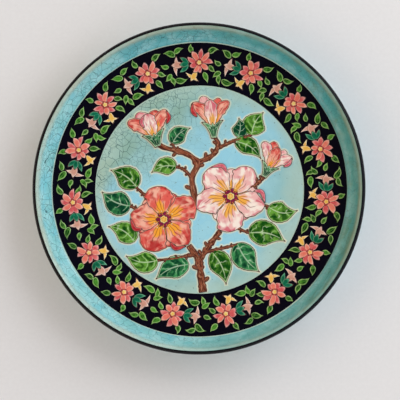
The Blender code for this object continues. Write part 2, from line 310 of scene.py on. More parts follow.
def turquoise_glaze():
    """Sky blue that turns celadon towards the picture's edges, under a net of fine cracks. The attribute
    inside is 1 on the picture, halo turns the glaze pale beside the enamels, and thin greenish at the lip. On
    the wall, painted light makes the upper part paler, and painted shade darkens the right side and the lip
    there."""
    paint = Paint("turquoise_glaze", roughness=0.14, coat=0.15, gloss=0.5)
    x, y, z = paint.axes()
    drift = (paint.noise(60, 3) - 0.5) * 0.13
    # painted shade: 0 on the wall's lit left side, 1 on its dark right side
    shade = (x * 0.98 + y * 0.12 + drift).step(-0.11, 0.16)
    inside = paint.attribute("inside")
    rim = 1 - inside
    # the picture's ground
    upper = (y * 0.75 - x * 0.65 + drift).step(0.03, 0.1)
    lower = (y + drift).step(-0.065, -0.112) * 0.75
    right = (x + drift).step(0.05, 0.12) * 0.5
    top = (y + drift).step(0.07, 0.115) * 0.8
    tint = upper.most(lower).most(top).most(right)
    colour = paint.mix(tint * inside, (0.32, 0.66, 0.79), (0.29, 0.48, 0.4))
    far = (x * x + y * y).math("SQRT")
    edge = (far + drift * 0.35).step(0.097, 0.117)
    colour = colour.mix(edge * 0.55, (0.5, 0.63, 0.5))
    # the wall: painted light makes it paler up its height, painted shade makes it darker and greener on the
    # right, and it is bluer towards the top
    light = paint.mix(z.step(0.024, 0.034), (0.18, 0.485, 0.48), (0.35, 0.67, 0.66))
    wall = paint.mix(shade, light, (0.098, 0.355, 0.345))
    crown = (y + x * 0.35 + drift).step(0.09, 0.16, 0, 0.6)
    wall = wall.mix(crown, (0.06, 0.405, 0.465))
    colour = colour.mix(rim, wall)
    # clouds in the glaze, milkier on the lit left, and deep patches that turn darker olive under the painted
    # shade on the right
    cloud = paint.noise(17, 4, distortion=0.6).step(0.42, 0.66)
    milky = rim * 0.24 * (0.8 - shade)
    colour = colour.mix(cloud * (milky + 0.22), (0.48, 0.76, 0.76))
    deep = paint.noise(24, 3, distortion=0.5).step(0.5, 0.68) * rim
    patch = paint.mix(shade, (0.1, 0.5, 0.6), (0.115, 0.265, 0.18))
    colour = colour.mix(deep * (shade * 0.22 + 0.4), patch)
    # cracks and specks
    wide = paint.cracks(9.5, 3.2).step(0.026, 0.006)
    fine = paint.cracks(5.8, 2).step(0.034, 0.008)
    patches = paint.noise(36, 2).step(0.4, 0.56)
    spread = (x * 0.25 - y + drift * 2.2).step(0.09, 0.17, 1, 0.68) * rim
    zone = upper.most(spread * (shade * 0.5 + 0.4))
    net = fine * (patches * zone) * 0.76
    wide = wide * spread.most(upper + 0.15) * 0.8
    left = (x + drift).step(0.1, -0.1, 0.55, 1)
    cracks = wide.most(net) * left
    colour = colour.mix(cracks, (0.028, 0.1, 0.105))
    specks = paint.noise(2.2, 0).step(0.8, 0.815)
    colour = colour.mix(specks * 0.6, (0.12, 0.17, 0.14))
    # thin glaze at the lip, with a darker copy for painted shade on the right, and halos
    lip = paint.mix(paint.noise(9, 3), (0.33, 0.38, 0.25), (0.56, 0.5, 0.36))
    # the lip's colour darkened by painted shade, used on the right
    shaded_lip = paint.mix(paint.noise(9, 3), (0.17, 0.25, 0.16), (0.29, 0.32, 0.23))
    thin = paint.attribute("thin") * y.step(-0.16, -0.02, 0.62, 0.9)
    colour = colour.mix(thin, paint.mix(shade, lip, shaded_lip))
    colour = colour.mix(paint.attribute("halo") * 0.9, (0.9, 0.86, 0.62))
    return paint.finish(colour, cracks * -0.6 + paint.noise(9, 2), 0.25, 0.12)


def navy_glaze():
    paint = Paint("navy_glaze", roughness=0.12, coat=0, gloss=0.2)
    colour = paint.mix(paint.noise(30, 3), (0.001, 0.0006, 0.003), (0.003, 0.002, 0.0085))
    return paint.finish(colour, paint.noise(7, 2), 0.2, 0.1)


def lip_line():
    """Near-black, with patches of painted blue-grey sheen."""
    paint = Paint("lip_line", roughness=0.25, coat=0, gloss=0.18)
    # patches of painted blue-grey sheen
    sheen_patches = paint.noise(6, 3).step(0.66, 0.8)
    return paint.finish(paint.mix(sheen_patches * 0.35, (0.0015, 0.0012, 0.0035), (0.03, 0.04, 0.05)))


def cream_line():
    """Cream, and darkened by painted shade on the right of the wall."""
    paint = Paint("cream_line", roughness=0.25, coat=0, gloss=0.5)
    colour = paint.mix(paint.noise(5, 3), (0.28, 0.48, 0.43), (0.62, 0.7, 0.56))
    # painted shade darkens the line on the right of the wall
    right = paint.axes()[0].step(0.11, 0.14)
    return paint.finish(colour.mix(right * 0.75, (0.09, 0.26, 0.23)))


def back_glaze():
    """The plain turquoise of the back, with a sparser net of cracks and a few pinholes."""
    paint = Paint("back_glaze", roughness=0.18, coat=0.25, gloss=0.5)
    cloud = paint.noise(40, 4)
    colour = paint.mix(cloud, (0.26, 0.53, 0.56), (0.36, 0.62, 0.62))
    cracks = paint.cracks(12, 4).step(0.028, 0)
    colour = colour.mix(cracks * 0.45, (0.12, 0.24, 0.25))
    holes = paint.noise(2.6, 0).step(0.8, 0.82)
    colour = colour.mix(holes * 0.7, (0.35, 0.27, 0.18))
    return paint.finish(colour, cloud + paint.noise(11, 2), 0.25, 0.15)


def bare_clay():
    paint = Paint("bare_clay", roughness=0.75, coat=0, gloss=0.5)
    grit = paint.noise(0.9, 3)
    colour = paint.mix(paint.noise(18, 3), (0.52, 0.4, 0.27), (0.66, 0.54, 0.39))
    colour = colour.mix(grit.step(0.62, 0.72) * 0.5, (0.22, 0.16, 0.1))
    return paint.finish(colour, grit, 0.35, 0.12)


# Enamel paints. A cell's attributes are along, from its base to its tip, across, from -1 to 1, depth, in
# millimetres from its edge, and tone, a number from 0 to 1 for each cell


def petal_enamel(name, pale, body, deep, flame, rim):
    """Brush strokes, deep colour pooled at the end and sides, a flame and fine lines at the base."""
    paint = Paint(name)
    along, across, depth, tone = paint.cell()
    run = paint.streaks(1.6, 5, 3)
    wash = paint.noise(9, 2) + (tone - 0.5) * 0.16
    colour = paint.mix((wash + run * 0.7).step(0.72, 0.98), body, pale)
    pool = paint.streaks(1.7, 4, 3).step(0.46, 0.6) * along.step(0.3, 0.75)
    pool = pool * paint.noise(11, 1).step(0.4, 0.58)
    colour = colour.mix(pool * 0.9, deep)
    edge = depth.step(4.2, 0.8) * paint.noise(6, 2).step(0.42, 0.58)
    edge = edge * along.step(0.25, 0.75)
    colour = colour.mix(edge * 0.85, deep)
    tongue = along.step(0.9, 0.15) - abs(across) * 0.7 + (paint.streaks(3, 7) - 0.5) * 1.6
    colour = colour.mix(tongue.step(0.36, 0.74) * 0.95, flame)
    place = across + (paint.streaks(3, 0.3, 1) - 0.5) * 0.55
    for spot, end in ((0.1, 0.78), (-0.24, 0.62), (0.38, 0.56), (-0.52, 0.42)):
        ray = abs(place - spot).step(0.048, 0.016) * along.step(end, end - 0.12)
        colour = colour.mix(ray * 0.75, (0.26, 0.035, 0.02))
    colour = colour.mix(depth.step(0.8, 0.3), rim)
    return paint.finish(colour, run + paint.noise(4, 2), 0.3, 0.14)


def leaf_enamel(name, light, dark, vein, rim, veins=4, rim_width=1.35):
    """Light green under dark pools between a pale midrib and soft side veins, with a lime rim."""
    paint = Paint(name)
    along, across, depth, tone = paint.cell()
    across = abs(across)
    cloud = paint.noise(7, 3, distortion=0.4) + tone * 0.2
    colour = paint.mix(cloud.step(0.46, 0.72), light, dark)
    run = along + paint.noise(8, 2) * 0.34 - across**1.3 * 0.22
    wave = (run * (veins * 2)).math("PINGPONG", 1)
    pool = wave.step(0.18, 0.7) * depth.step(0.7, 2.4) * paint.noise(9, 2).step(0.34, 0.56)
    colour = colour.mix(pool * 0.85, dark)
    side = wave.step(0.17, 0.03) * across.step(0.8, 0.4) * along.step(0.9, 0.76)
    side = side * paint.noise(5, 1).step(0.36, 0.54, 0.25, 0.8)
    middle = across.step(0.08, 0.025) * along.step(0.92, 0.78) * 0.75
    lines = side.most(middle)
    colour = colour.mix(lines, vein)
    lime = depth.step(rim_width, rim_width / 3)
    colour = colour.mix(lime * paint.noise(6, 1).step(0.3, 0.55, 0.55, 1), rim)
    return paint.finish(colour, lines * -0.5 + cloud, 0.25, 0.15)


def plain_enamel(name, heart, body, rim, rim_width, tip=0):
    """One colour with a deeper heart along the middle, a paler rim and, by tip, a paler end."""
    paint = Paint(name)
    along, _, depth, tone = paint.cell()
    cloud = paint.noise(4, 2) + tone * 0.2
    colour = paint.mix(cloud.step(0.4, 0.75), body, heart)
    colour = colour.mix(depth.step(0.8, 2.2) * 0.55, heart)
    colour = colour.mix(depth.step(rim_width, rim_width * 0.35), rim)
    if tip:
        colour = colour.mix(along.step(0.58, 0.98, 0, tip), rim)
    return paint.finish(colour, paint.noise(3, 2), 0.15, 0.08)


def bark_enamel():
    """Red-brown with lengthwise streaks, darker at the sides."""
    paint = Paint("bark_enamel", roughness=0.14)
    streak = paint.streaks(9, 5, 3)
    colour = paint.mix(streak.step(0.4, 0.58), (0.08, 0.018, 0.009), (0.285, 0.084, 0.04))
    light = paint.streaks(14, 4, 2).step(0.54, 0.66)
    colour = colour.mix(light * 0.65, (0.54, 0.26, 0.14))
    dark = paint.attribute("depth").step(0.9, 0.1)
    colour = colour.mix(dark * 0.65, (0.045, 0.012, 0.01))
    return paint.finish(colour, streak, 0.35, 0.15)


def outline_enamel():
    paint = Paint("outline_enamel", roughness=0.2, coat=0.2, gloss=0.5)
    return paint.finish(paint.mix(paint.noise(5, 2), (0.035, 0.007, 0.007), (0.11, 0.026, 0.018)))


# Petals: pale, body, deep, flame, rim
PINK = (0.98, 0.85, 0.74), (0.88, 0.48, 0.45), (0.66, 0.1, 0.15), (0.92, 0.44, 0.05), (0.96, 0.82, 0.68)
CORAL = (0.93, 0.47, 0.34), (0.79, 0.125, 0.095), (0.46, 0.01, 0.014), (0.94, 0.4, 0.03), (0.92, 0.54, 0.4)
# Leaves: light, dark, vein, rim
GREEN = (0.15, 0.375, 0.046), (0.002, 0.064, 0.002), (0.56, 0.73, 0.42), (0.54, 0.7, 0.36)
EMERALD = (0.05, 0.29, 0.09), (0.001, 0.046, 0.018), (0.46, 0.66, 0.44), (0.47, 0.65, 0.4)
BAND_GREEN = (0.062, 0.262, 0.02), (0.002, 0.052, 0.003), (0.15, 0.36, 0.05), (0.31, 0.5, 0.15)
# Plain enamels: heart, body, rim, how wide the rim is and how much of the rim's colour the tip takes
PLAIN = {
    "maroon": ((0.2, 0.01, 0.045), (0.3, 0.02, 0.06), (0.36, 0.05, 0.05), 0.4),
    "yolk": ((0.86, 0.5, 0.08), (0.88, 0.66, 0.26), (0.86, 0.72, 0.4), 0.6),
    "band_coral": ((0.78, 0.17, 0.12), (0.84, 0.29, 0.2), (0.93, 0.6, 0.46), 0.7, 0.6),
    "band_yellow": ((0.84, 0.46, 0.08), (0.88, 0.57, 0.15), (0.94, 0.8, 0.5), 0.7, 0.6),
    "band_cap": ((0.003, 0.1, 0.045), (0.008, 0.2, 0.1), (0.16, 0.46, 0.26), 0.6, 0.5),
    "turned_pink": ((0.62, 0.1, 0.14), (0.78, 0.3, 0.32), (0.86, 0.5, 0.46), 0.5),
    "turned_coral": ((0.42, 0.02, 0.028), (0.6, 0.065, 0.06), (0.8, 0.25, 0.2), 0.5),
    "stamen": ((0.7, 0.3, 0.03), (0.8, 0.42, 0.06), (0.62, 0.22, 0.03), 0.15),
    "band_rose": ((0.62, 0.085, 0.09), (0.74, 0.19, 0.17), (0.91, 0.52, 0.46), 0.6, 0.55),
    "band_ring": ((0.36, 0.035, 0.03), (0.46, 0.06, 0.05), (0.55, 0.12, 0.09), 0.3),
    "band_tulip": ((0.62, 0.29, 0.21), (0.72, 0.41, 0.3), (0.9, 0.68, 0.56), 0.8, 0.6),
}


def enamel_paints():
    """Every enamel by name."""
    paints = {
        "outline": outline_enamel(),
        "bark": bark_enamel(),
        "pink": petal_enamel("pink_petal", *PINK),
        "coral": petal_enamel("coral_petal", *CORAL),
        "leaf": leaf_enamel("green_leaf", *GREEN),
        "dark_leaf": leaf_enamel("emerald_leaf", *EMERALD),
        "sepal": leaf_enamel("sepal", *EMERALD, veins=1.5),
        "band_leaf": leaf_enamel("small_leaf", *BAND_GREEN, veins=2.5, rim_width=1.6),
    }
    for name, colours in PLAIN.items():
        paints[name] = plain_enamel(name + "_enamel", *colours)
    return paints


# Meshes


def add_object(name, data):
    thing = bpy.data.objects.new(name, data)
    bpy.context.collection.objects.link(thing)
    return thing


def make_object(name, verts, faces, slots, materials):
    mesh = bpy.data.meshes.new(name)
    mesh.from_pydata((np.asarray(verts) * MM).tolist(), [], faces)
    for material in materials:
        mesh.materials.append(material)
    mesh.polygons.foreach_set("material_index", slots)
    mesh.shade_smooth()
    return add_object(name, mesh)


def add_numbers(thing, name, values):
    layer = thing.data.attributes.new(name, "FLOAT", "POINT")
    layer.data.foreach_set("value", np.asarray(values, np.float32))


def take_place(thing):
    """The piece rides with the plate and shows in place of its solid, which is hidden."""
    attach(thing, "root")
    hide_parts("plate")


def grid_faces(rows, columns, closed, start=0):
    """The quads between the rows of a grid of points. A closed grid's last column joins its first."""
    faces = []
    for a in range(start, start + (rows - 1) * columns, columns):
        for j in range(columns if closed else columns - 1):
            k = (j + 1) % columns
            faces.append((a + j, a + k, a + columns + k, a + columns + j))
    return faces


def lengths(vectors):
    return np.hypot(vectors[..., 0], vectors[..., 1])


def distances(path):
    """How far along a path each of its points is."""
    return np.concatenate(([0], np.cumsum(lengths(np.diff(path, axis=0)))))


def wobble(angles, phase):
    """A hand-painted edge: a share from -1 to 1 of its unevenness."""
    waves = ((3, 0.35), (7, 0.25), (16, 0.2), (31, 0.12), (58, 0.08))
    return sum(size * np.sin(count * angles + phase * (count + 1)) for count, size in waves)


def wall_point(share):
    """A point up the inside of the wall and the slope there in degrees."""
    a = BAND_RIM
    d = LIP_CENTRE + LIP_RADIUS * direction(WALL_ANGLE + 90)
    reach = np.hypot(*(d - a)) / 3
    b = a + reach * direction(BAND_SLOPE)
    c = d - reach * direction(WALL_ANGLE)
    rest = 1 - share
    point = a * rest**3 + b * 3 * rest**2 * share + c * 3 * rest * share**2 + d * share**3
    run = (b - a) * rest**2 + (c - b) * 2 * rest * share + (d - c) * share**2
    return point, math.degrees(math.atan2(run[1], run[0]))


def lip_point(angle):
    return LIP_CENTRE + LIP_RADIUS * direction(angle)


def even_rings(points, zone="glaze"):
    return [(*point, zone, 0) for point in points]


def face_profile():
    """Rings from the middle out to the lip's outer side: radius, height, zone outside it, how uneven."""
    on_lip = (*np.linspace(DARK_LIP_ANGLE - 10, SEAM_ANGLE + 3, 12), SEAM_ANGLE + 0.6, SEAM_ANGLE)
    band = [BAND_FOOT + (BAND_RIM - BAND_FOOT) * share for share in np.linspace(0.06, 0.94, 12)]
    return [
        *even_rings((radius, FLOOR_TOP) for radius in np.linspace(3, DISC_RADIUS - 3, 20)),
        (DISC_RADIUS - CREAM_LINE, FLOOR_TOP, "cream", 0.35),
        (DISC_RADIUS, FLOOR_TOP + 0.02, "navy", 0.25),
        *even_rings(band, "navy"),
        (BAND_RADIUS - CREAM_ON_BAND, BAND_TOP - 0.07, "cream", 0.3),
        (BAND_RADIUS + CREAM_LINE - CREAM_ON_BAND, BAND_TOP + 0.14, "glaze", 0.3),
        *even_rings(wall_point(share)[0] for share in np.linspace(0.12, 1, 15)),
        *even_rings(lip_point(angle) for angle in np.linspace(WALL_ANGLE + 78, DARK_LIP_ANGLE + 5, 9)),
        (*lip_point(DARK_LIP_ANGLE), "lip", 0.12),
        *even_rings((lip_point(angle) for angle in on_lip), "lip"),
    ]


def back_profile():
    """Rings from the lip's outer side down the outside, then in to the middle of the underside."""
    angles = (SEAM_ANGLE, SEAM_ANGLE - 0.6, *np.linspace(SEAM_ANGLE - 4, WALL_ANGLE - 90 - 12, 4))
    rings = even_rings((lip_point(angle) for angle in angles), "lip")
    outside = []
    for share in np.linspace(1, 0, 22):
        point, slope = wall_point(share)
        outside.append(point - BODY_THICKNESS * direction(slope + 90))
    edge = LIP_CENTRE[1] - DARK_BELOW_LIP
    for spot, after in zip(outside, outside[1:] + outside[-1:]):
        zone = "lip" if after[1] > edge else "glaze"
        rings.append((*spot, zone, 0.3 if after[1] < edge < spot[1] else 0))
    start = outside[-1]
    corner = BAND_FOOT - BODY_THICKNESS * direction(BAND_SLOPE / 2 + 90)
    rings += even_rings(start + (corner - start) * share for share in (0.25, 0.5, 0.75, 0.93))
    radii = (corner[0] - 2, *np.linspace(FOOT_RADIUS - FOOT_WIDTH / 2, 4, 16))
    return rings + even_rings((radius, FOOT_HEIGHT) for radius in radii)


def turn_profile(name, rings, paints, middle_first):
    """Turns the rings around Z and closes the middle. paints has each zone's material. The bake map is the
    plate rolled flat."""
    zones = list(paints)
    angles = np.radians(AROUND)
    circle = direction(AROUND).T
    verts = []
    for i, (radius, height, _, uneven) in enumerate(rings):
        around = radius + uneven * wobble(angles, i * 0.7)
        verts.append(np.column_stack((circle * around[:, None], np.full(SEGMENTS, height))))
    end = 0 if middle_first else len(rings) - 1
    verts = np.vstack((*verts, (0, 0, rings[end][1])))
    faces = [quad[::-1] for quad in grid_faces(len(rings), SEGMENTS, closed=True)]
    slots = [zones.index(ring[2]) for ring in rings[:-1] for _ in angles]
    for j in range(SEGMENTS):
        fan = (len(verts) - 1, end * SEGMENTS + j, end * SEGMENTS + (j + 1) % SEGMENTS)
        faces.append(fan if middle_first else fan[::-1])
        slots.append(zones.index("glaze"))
    thing = make_object(name, verts, faces, slots, paints.values())
    along = distances([ring[:2] for ring in rings])
    reach = rings[0][0] + along if middle_first else rings[-1][0] + along[-1] - along
    spots = np.vstack((*(circle * far for far in reach), (0, 0)))
    spots = 0.5 + spots / (BAKE_WIDTH * max(reach))
    layer = thing.data.uv_layers.new(name="OFBake")
    corners = np.empty(len(thing.data.loops), np.int32)
    thing.data.loops.foreach_get("vertex_index", corners)
    layer.data.foreach_set("uv", spots[corners].ravel())
    return thing


def make_face(materials):
    paints = {zone: materials[zone] for zone in ("glaze", "cream", "navy", "lip")}
    face = turn_profile("plate_face", face_profile(), paints, True)
    x, y, z = np.array([v.co for v in face.data.vertices]).T / MM
    radius = np.hypot(x, y)
    thin = smooth_step(z, PLATE_HEIGHT - THIN_GLAZE, PLATE_HEIGHT - 0.5)
    thin = np.clip(thin * (0.75 + 0.25 * wobble(np.arctan2(y, x), 2)), 0, 1)
    add_numbers(face, "inside", radius < DISC_RADIUS + 2)
    add_numbers(face, "thin", thin * (radius > BAND_RADIUS))
    add_numbers(face, "halo", np.zeros(len(radius)))
    take_place(face)


def make_back(materials):
    paints = {"lip": materials["lip"], "glaze": materials["back"]}
    take_place(turn_profile("plate_back", back_profile(), paints, False))


def foot_outline():
    """The foot ring's section, from its outer side over its underside to its inner side."""
    outer = FOOT_RADIUS + FOOT_FILLET
    inner = FOOT_RADIUS - FOOT_WIDTH - FOOT_FILLET
    low = FOOT_HEIGHT - 0.1
    arcs = (
        (outer, low - FOOT_FILLET, FOOT_FILLET, 100, 180, 4),
        (FOOT_RADIUS - FOOT_ROUNDING, FOOT_ROUNDING, FOOT_ROUNDING, 0, -90, 6),
        (FOOT_RADIUS - FOOT_WIDTH + FOOT_ROUNDING, FOOT_ROUNDING, FOOT_ROUNDING, -90, -180, 6),
        (inner, low - FOOT_FILLET, FOOT_FILLET, 0, 80, 4),
    )
    outline = [(outer + 0.4, FOOT_HEIGHT + 1), (outer, low)]
    for x, z, bend, first, last, count in arcs:
        outline += [(x, z) + bend * direction(angle) for angle in np.linspace(first, last, count)]
    return outline + [(inner, low), (inner - 0.4, FOOT_HEIGHT + 1)]


def make_foot_ring(materials):
    """A closed ring under the floor, with two holes for the hanging wire drilled through it."""
    outline = foot_outline()
    total = len(outline) * SEGMENTS
    verts = [(*way * radius, z) for radius, z in outline for way in direction(AROUND).T]
    faces = [[v % total for v in quad[::-1]] for quad in grid_faces(len(outline) + 1, SEGMENTS, closed=True)]
    heights = np.array(outline)[:, 1]
    glazed = np.maximum(heights, np.roll(heights, -1)) >= FOOT_HEIGHT * BARE_SHARE
    slots = np.repeat(glazed.astype(int), SEGMENTS)
    ring = make_object("foot_ring", verts, faces, slots, [materials["clay"], materials["back"]])
    middle = FOOT_RADIUS - FOOT_WIDTH / 2
    for side in (-1, 1):
        angle = math.pi / 2 - side * math.asin(HOLE_SPACING / 2 / middle)
        bpy.ops.mesh.primitive_cylinder_add(
            vertices=32, radius=HOLE_WIDTH / 2 * MM, depth=2.2 * FOOT_WIDTH * MM,
            location=Vector((middle * math.cos(angle), middle * math.sin(angle), FOOT_HEIGHT / 2)) * MM,
            rotation=(0, math.pi / 2, angle),
        )
        drill = bpy.context.object
        cut = ring.modifiers.new("hole", "BOOLEAN")
        cut.solver = "EXACT"
        cut.object = drill
        bpy.context.view_layer.objects.active = ring
        bpy.ops.object.modifier_apply(modifier=cut.name)
        bpy.data.objects.remove(drill, do_unlink=True)
    ring.data.shade_smooth()
    ring.data.set_sharp_from_angle(angle=math.radians(SHARP_ANGLE))
    take_place(ring)


# Enamel cells

# Where a cell has its points across, from its left side to its right side
ACROSS = np.array((-1, -0.95, -0.84, -0.66, -0.42, -0.16, 0, 0.16, 0.42, 0.66, 0.84, 0.95, 1))
SMALL = np.array((-1, -0.92, -0.7, -0.36, 0, 0.36, 0.7, 0.92, 1))
NARROW = np.array((-1, -0.93, -0.6, 0, 0.6, 0.93, 1))


def ground(flat):
    """The glaze's height under the picture and the band."""
    out = lengths(flat) - DISC_RADIUS
    return FLOOR_TOP + BAND_RISE * np.clip(out, 0, None) / BAND_WIDTH


def smooth_path(points, count):
    """A smooth curve through the points, evenly sampled."""
    points = np.asarray(points, float)
    padded = np.vstack((2 * points[0] - points[1], points, 2 * points[-1] - points[-2]))
    found = []
    for i in range(1, len(padded) - 2):
        a, b, c, d = padded[i - 1 : i + 3]
        t = np.linspace(0, 1, 16, endpoint=False)[:, None]
        bend = (2 * a - 5 * b + 4 * c - d) * t**2 + (3 * b - a - 3 * c + d) * t**3
        found.append(0.5 * (2 * b + (c - a) * t + bend))
    found = np.vstack((*found, points[-1]))
    far = distances(found)
    wanted = np.linspace(0, far[-1], count)
    return np.column_stack([np.interp(wanted, far, found[:, k]) for k in (0, 1)])


def side_of(path):
    """The left-hand unit normal at each point of a path."""
    run = np.gradient(path, axis=0)
    run /= np.maximum(lengths(run), 1e-9)[:, None]
    return np.column_stack((-run[:, 1], run[:, 0]))


def grow(outline, by):
    """The anticlockwise outline moved outwards, with its sharp corners kept from shooting out."""
    both = 0
    for run in (outline - np.roll(outline, 1, axis=0), np.roll(outline, -1, axis=0) - outline):
        both = both + np.column_stack((run[:, 1], -run[:, 0])) / np.maximum(lengths(run), 1e-6)[:, None]
    size = np.maximum(lengths(both), 0.7)
    return outline + both / size[:, None] * by * np.minimum(2 / size, 1.7)[:, None]


class Enamels:
    """Gathers the cells, outlines and halos of one piece."""

    def __init__(self, paints, seed):
        self.chance = np.random.default_rng(seed)
        self.paints = paints
        self.names = list(paints)
        self.places = []
        self.faces = []
        self.slots = []
        self.numbers = {name: [] for name in ("along", "across", "depth", "tone", "halo")}
        self.count = 0

    def sheet(self, places, kind, closed=False, **numbers):
        """Adds a grid of points, rows by columns by XYZ, and its numbers for each point."""
        rows, columns = places.shape[:2]
        self.places.append(places.reshape(-1, 3))
        for name, found in self.numbers.items():
            found.append(np.broadcast_to(numbers.get(name, 0), (rows, columns)).ravel())
        faces = grid_faces(rows, columns, closed, self.count)
        self.faces += faces
        self.slots += [self.names.index(kind)] * len(faces)
        self.count += rows * columns

    def cell(
        self, path, half, kind, layer=0, tone=0.5, relief=RELIEF, groove=0, across=ACROSS, outline=True,
        halo=False,
    ):
        """A domed cell along a path. half is its half width at each point, or one for each side."""
        left, right = np.maximum(half if isinstance(half, tuple) else (half, half), 0.12)
        side = np.where(across < 0, left[:, None], right[:, None])
        along = distances(path)
        ends = np.minimum(along, along[-1] - along)
        flat = path[:, None, :] - side_of(path)[:, None, :] * (across * side)[:, :, None]
        depth = np.minimum((1 - np.abs(across)) * side, (ends + 0.15)[:, None])
        dome = np.sqrt(np.clip(1 - np.abs(across) ** 3, 0, 1)) - groove * np.exp(-((across / 0.16) ** 2))
        fullness = smooth_step(np.minimum((left + right) / 2, ends + 0.1), 0, 1.5)
        base = ground(flat) + layer * LAYER
        places = np.dstack((flat, base + CELL_EDGE + relief * dome * fullness[:, None]))
        places = np.pad(places, ((1, 1), (1, 1), (0, 0)), mode="edge")
        for edge in (np.s_[0, :], np.s_[-1, :], np.s_[:, 0], np.s_[:, -1]):
            places[edge + (2,)] = np.pad(base, 1, mode="edge")[edge] - SKIRT
        shares = np.broadcast_arrays((along / along[-1])[:, None], across[None, :], depth)
        along, across, depth = (np.pad(share, 1, mode="edge") for share in shares)
        self.sheet(places, kind, along=along, across=across, depth=depth, tone=tone)
        self.trim(np.vstack((flat[:, -1], flat[::-1, 0])), layer, outline, halo)

    def trim(self, rim, layer, outline, halo):
        """The dark line around a cell and the pale halo in the glaze around that. rim runs anticlockwise."""
        if outline:
            offsets = (-0.35, 0.05, OUTLINE_WIDTH * 0.8, OUTLINE_WIDTH)
            self.ring(rim, offsets, (0.12, 0.24, 0.16, -SKIRT), layer, "outline")
        if halo:
            offsets = (0, 0.9, 1.7, HALO_WIDTH)
            self.ring(rim, offsets, (0.1, 0.1, 0.05, -0.04), 0, "glaze", (1, 0.95, 0.45, 0))

    def ring(self, rim, offsets, heights, layer, kind, halo=(0, 0, 0, 0)):
        rows = []
        for offset, height in zip(offsets, heights):
            flat = grow(rim, offset)
            if kind == "glaze":
                flat = flat * np.minimum(1, (DISC_RADIUS - CREAM_LINE - 0.1) / lengths(flat))[:, None]
            rows.append(np.column_stack((flat, ground(flat) + layer * LAYER + height)))
        self.sheet(np.array(rows)[::-1], kind, closed=True, halo=np.array(halo)[::-1, None], depth=0.3)

    def disc(self, centre, radius, kind, layer, relief=RELIEF, uneven=0, waves=7, outline=True):
        """A domed spot whose edge may be wavy."""
        angles = np.radians(np.arange(0, 360, 12))
        wave = np.sin(waves * angles + 4.5) + 0.4 * np.sin((waves + 4) * angles)
        shares = np.array((1, 1, 0.96, 0.85, 0.6, 0.3, 0.02))[:, None]
        edge = radius * (1 + uneven * wave)
        flat = centre + np.dstack((np.cos(angles), np.sin(angles))) * (shares * edge)[:, :, None]
        base = ground(flat) + layer * LAYER
        height = base + CELL_EDGE + relief * np.sqrt(np.clip(1 - shares**3, 0, 1))
        height[0] = base[0] - SKIRT
        depth = (1 - shares) * edge
        self.sheet(np.dstack((flat, height)), kind, closed=True, along=shares, depth=depth, tone=0.5)
        self.trim(flat[0], layer, outline, False)

    def make(self, name):
        thing = make_object(name, np.vstack(self.places), self.faces, self.slots, self.paints.values())
        for number, found in self.numbers.items():
            add_numbers(thing, number, np.concatenate(found))
        add_numbers(thing, "inside", np.ones(self.count))
        add_numbers(thing, "thin", np.zeros(self.count))
        take_place(thing)


# Shapes of a cell: its half width at each share of its length, as a share of the greatest


def toothed_leaf_shape(t):
    teeth = 1 + 0.055 * (((t * 9) % 1) - 0.5) * smooth_step(t, 0.05, 0.2)
    return leaf_shape(t) * teeth


def leaf_shape(t):
    return np.sin(np.pi * t**0.72) ** (0.7 + 0.75 * t)


def swelling(foot, peak, rise, bend, end):
    """A shape that swells from its foot's width to its peak and closes at its tip. rise, bend and end are the
    powers that shape its lower half, its upper half and its tip."""

    def shape(t):
        lower = foot + (1 - foot) * np.sin(np.pi / 2 * np.clip(t / peak, 0, 1)) ** rise
        return lower * np.clip(1 - np.clip((t - peak) / (1 - peak), 0, 1) ** bend, 0, 1) ** end

    return shape


petal_shape = swelling(0.2, 0.64, 1.4, 2.4, 0.5)
pointed_petal_shape = swelling(0.2, 0.56, 1.3, 1.9, 0.85)
bud_shape = swelling(0.35, 0.6, 1, 2.2, 0.5)
lance_shape = swelling(0.3, 0.5, 1, 1.6, 1)
daisy_shape = swelling(0.42, 0.55, 1, 1.9, 1)


def blade(enamels, base, tip, width, shape, kind, bow=0, rows=26, ruffle=0, seed=0, **how):
    """A leaf or a petal from its base to its tip, bent to its left by bow, a share of its length."""
    run = tip - base
    share = 1 - (1 - np.linspace(0, 1, rows)) ** 1.35
    bend = bow * (np.sin(np.pi * share) - 0.7 * share**3)
    path = base + run * share[:, None] + turned_left(run) * bend[:, None]
    loose = ruffle * smooth_step(share, 0.15, 0.55)
    half = []
    for turn in (seed, seed + 2):
        waves = np.sin(share * 15 + turn) + 0.7 * np.sin(share * 29 + 2 * turn)
        half.append(shape(share) * width / 2 * (1 + loose * waves))
    enamels.cell(path, tuple(half), kind, **how)


def strand(enamels, points, start, end, kind, count, **how):
    """A thin line of enamel through the points, from one width to another."""
    path = smooth_path(points, count)
    half = np.linspace(start, end, count) / 2
    half[-1] *= 0.35
    enamels.cell(path, half, kind, across=NARROW, **how)


# The picture's enamels


def picture_point(pair):
    return np.array(pair, float) * DISC_RADIUS


def make_leaf(enamels, base, tip, width, kind, bow):
    tone = enamels.chance.random()
    blade(
        enamels, picture_point(base), picture_point(tip), width * DISC_RADIUS, toothed_leaf_shape, kind,
        bow=bow, rows=37, layer=1, tone=tone, groove=0.35, halo=True, ruffle=0.015, seed=tone * 9,
    )


def make_petal(enamels, base, tip, width, kind, layer, bow=0, shape=petal_shape, fold=0):
    """A petal. fold is -1 or 1 for a turned edge on its left or right side, or 0 for none."""
    tone = enamels.chance.random()
    blade(
        enamels, base, tip, width, shape, kind,
        bow=bow, rows=34, layer=layer, tone=tone, ruffle=0.075, seed=tone * 20, halo=True, groove=0.12,
    )
    if fold:
        run = tip - base
        side = turned_left(unit(run)) * width / 2 * fold
        plan = ((0.56, 0.92), (0.8, 0.98), (0.985, 0.3))
        path = smooth_path([base + run * along + side * across for along, across in plan], 16)
        half = np.sin(np.pi * np.linspace(0.03, 0.97, 16) ** 0.8) * np.hypot(*run) * 0.06
        enamels.cell(path, half, "turned_" + kind, layer=layer + 1, tone=tone, across=NARROW)


